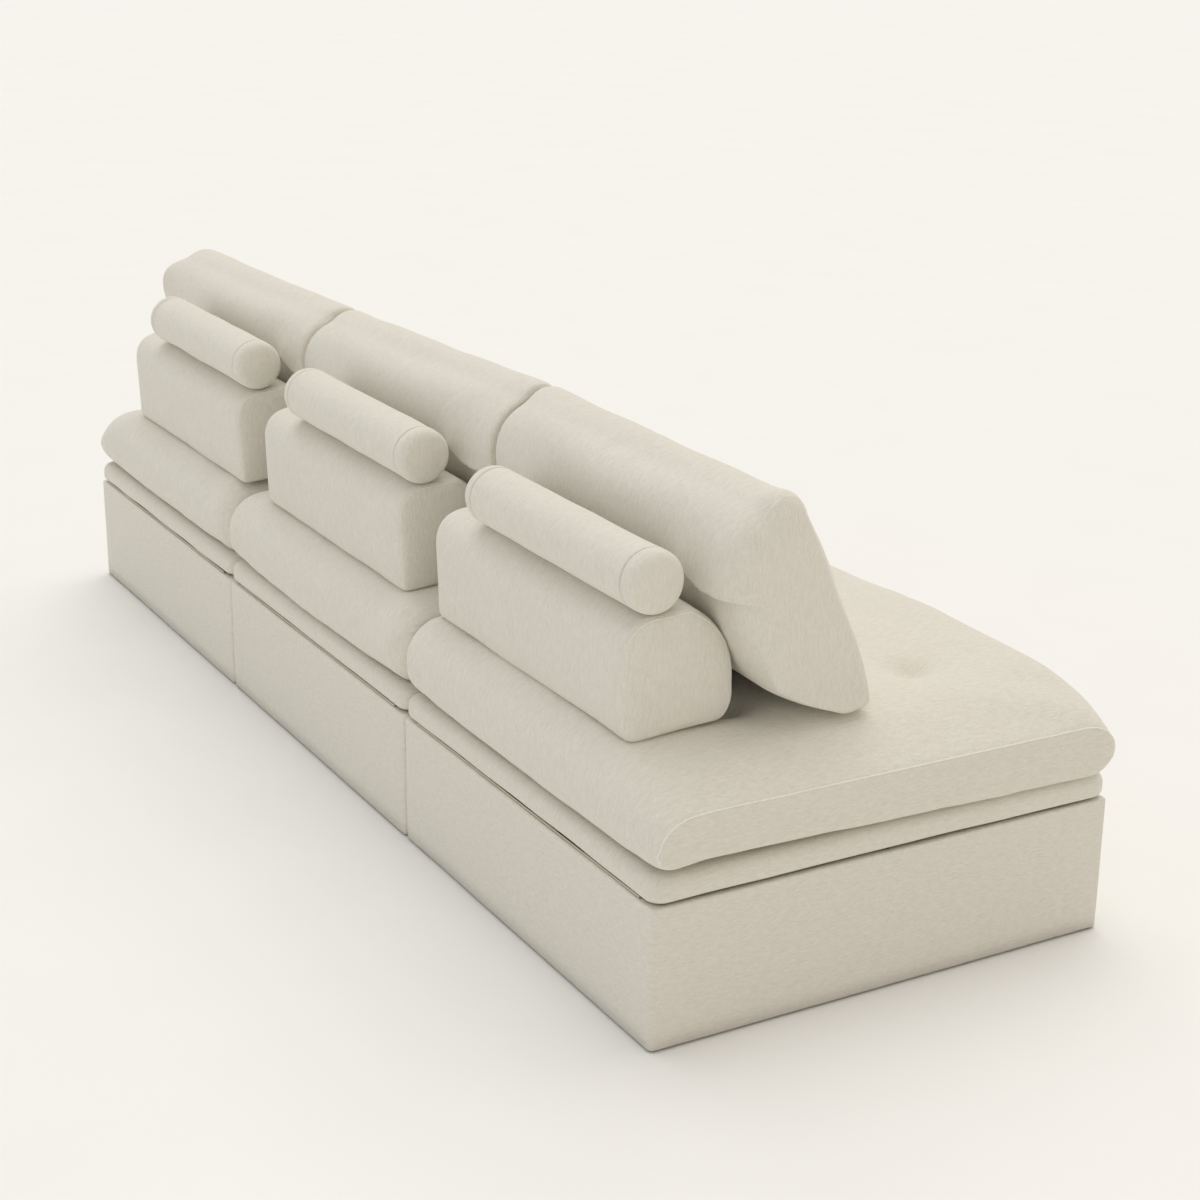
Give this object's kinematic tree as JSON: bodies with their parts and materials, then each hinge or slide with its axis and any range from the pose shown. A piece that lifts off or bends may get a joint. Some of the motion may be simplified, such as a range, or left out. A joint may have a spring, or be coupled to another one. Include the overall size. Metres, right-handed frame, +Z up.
{
  "type": "modular sectional sofa",
  "caption": "Armless modular sofa row: fabric storage bases with hinged padded lids, tufted seat cushions, loose back blocks, bolsters and leaning back cushions.",
  "frame": {"origin": "on the floor, below the middle of the row", "axes": "+X along the row to the right of someone facing the seat, +Y to the rear, +Z up"},
  "size_m": [2.724, 0.9324, 0.8406],
  "materials": {
    "cover_fabric": "matte, fine crinkled weave",
    "foam": "open-cell foam, hidden",
    "plywood": "unfinished, hidden",
    "hinge_steel": "zinc plated",
    "link_steel": "black powder coat",
    "bumper_rubber": "matte",
    "glide_plastic": "matte"
  },
  "bodies": {
    "left_base": {"left_base_front_board": "plywood", "left_base_rear_board": "plywood", "left_base_side_frames": "plywood", "left_base_floor_board": "plywood", "left_base_cover": "cover_fabric", "left_base_glides": "glide_plastic", "left_lid_bumpers": "bumper_rubber", "left_hinge_base_leaf": "hinge_steel", "left_link_pegs": "link_steel"},
    "left_lid": {"left_lid_board": "plywood", "left_lid_pad": "cover_fabric", "left_hinge_lid_leaf": "hinge_steel"},
    "left_seat": {"left_seat_cover": "cover_fabric", "left_seat_core": "foam"},
    "left_block": {"left_block_cover": "cover_fabric", "left_block_core": "foam"},
    "left_bolster": {"left_bolster_cover": "cover_fabric", "left_bolster_core": "foam"},
    "left_back": {"left_back_cover": "cover_fabric", "left_back_core": "foam"},
    "middle_base": {"middle_base_front_board": "plywood", "middle_base_rear_board": "plywood", "middle_base_side_frames": "plywood", "middle_base_floor_board": "plywood", "middle_base_cover": "cover_fabric", "middle_base_glides": "glide_plastic", "middle_lid_bumpers": "bumper_rubber", "middle_hinge_base_leaf": "hinge_steel", "middle_link_forks": "link_steel"},
    "middle_lid": {"middle_lid_board": "plywood", "middle_lid_pad": "cover_fabric", "middle_hinge_lid_leaf": "hinge_steel"},
    "middle_seat": {"middle_seat_cover": "cover_fabric", "middle_seat_core": "foam"},
    "middle_block": {"middle_block_cover": "cover_fabric", "middle_block_core": "foam"},
    "middle_bolster": {"middle_bolster_cover": "cover_fabric", "middle_bolster_core": "foam"},
    "middle_back": {"middle_back_cover": "cover_fabric", "middle_back_core": "foam"},
    "right_base": {"right_base_front_board": "plywood", "right_base_rear_board": "plywood", "right_base_side_frames": "plywood", "right_base_floor_board": "plywood", "right_base_cover": "cover_fabric", "right_base_glides": "glide_plastic", "right_lid_bumpers": "bumper_rubber", "right_hinge_base_leaf": "hinge_steel", "right_link_pegs": "link_steel"},
    "right_lid": {"right_lid_board": "plywood", "right_lid_pad": "cover_fabric", "right_hinge_lid_leaf": "hinge_steel"},
    "right_seat": {"right_seat_cover": "cover_fabric", "right_seat_core": "foam"},
    "right_block": {"right_block_cover": "cover_fabric", "right_block_core": "foam"},
    "right_bolster": {"right_bolster_cover": "cover_fabric", "right_bolster_core": "foam"},
    "right_back": {"right_back_cover": "cover_fabric", "right_back_core": "foam"}
  },
  "joints": [
    {"name": "left_module_slide", "type": "slide", "parent": "middle_base", "child": "left_base", "axis": [-1, 0, 0], "range_m": [0, 0.3]},
    {"name": "right_module_slide", "type": "slide", "parent": "middle_base", "child": "right_base", "axis": [1, 0, 0], "range_m": [0, 0.3]},
    {"name": "left_lid_hinge", "type": "hinge", "parent": "left_base", "child": "left_lid", "pos_m": [-0.9, 0.4435, 0.247], "axis": [-1, 0, 0], "range_deg": [0, 60]},
    {"name": "left_seat_lift", "type": "slide", "parent": "left_lid", "child": "left_seat", "axis": [0, 0, 1], "range_m": [0, 0.25]},
    {"name": "left_block_lift", "type": "slide", "parent": "left_seat", "child": "left_block", "axis": [0, 0, 1], "range_m": [0, 0.25]},
    {"name": "left_bolster_lift", "type": "slide", "parent": "left_block", "child": "left_bolster", "axis": [0, 0, 1], "range_m": [0, 0.2]},
    {"name": "left_back_lift", "type": "slide", "parent": "left_block", "child": "left_back", "axis": [0, 0, 1], "range_m": [0, 0.3]},
    {"name": "middle_lid_hinge", "type": "hinge", "parent": "middle_base", "child": "middle_lid", "pos_m": [0, 0.4435, 0.247], "axis": [-1, 0, 0], "range_deg": [0, 60]},
    {"name": "middle_seat_lift", "type": "slide", "parent": "middle_lid", "child": "middle_seat", "axis": [0, 0, 1], "range_m": [0, 0.25]},
    {"name": "middle_block_lift", "type": "slide", "parent": "middle_seat", "child": "middle_block", "axis": [0, 0, 1], "range_m": [0, 0.25]},
    {"name": "middle_bolster_lift", "type": "slide", "parent": "middle_block", "child": "middle_bolster", "axis": [0, 0, 1], "range_m": [0, 0.2]},
    {"name": "middle_back_lift", "type": "slide", "parent": "middle_block", "child": "middle_back", "axis": [0, 0, 1], "range_m": [0, 0.3]},
    {"name": "right_lid_hinge", "type": "hinge", "parent": "right_base", "child": "right_lid", "pos_m": [0.9, 0.4435, 0.247], "axis": [-1, 0, 0], "range_deg": [0, 60]},
    {"name": "right_seat_lift", "type": "slide", "parent": "right_lid", "child": "right_seat", "axis": [0, 0, 1], "range_m": [0, 0.25]},
    {"name": "right_block_lift", "type": "slide", "parent": "right_seat", "child": "right_block", "axis": [0, 0, 1], "range_m": [0, 0.25]},
    {"name": "right_bolster_lift", "type": "slide", "parent": "right_block", "child": "right_bolster", "axis": [0, 0, 1], "range_m": [0, 0.2]},
    {"name": "right_back_lift", "type": "slide", "parent": "right_block", "child": "right_back", "axis": [0, 0, 1], "range_m": [0, 0.3]}
  ]
}
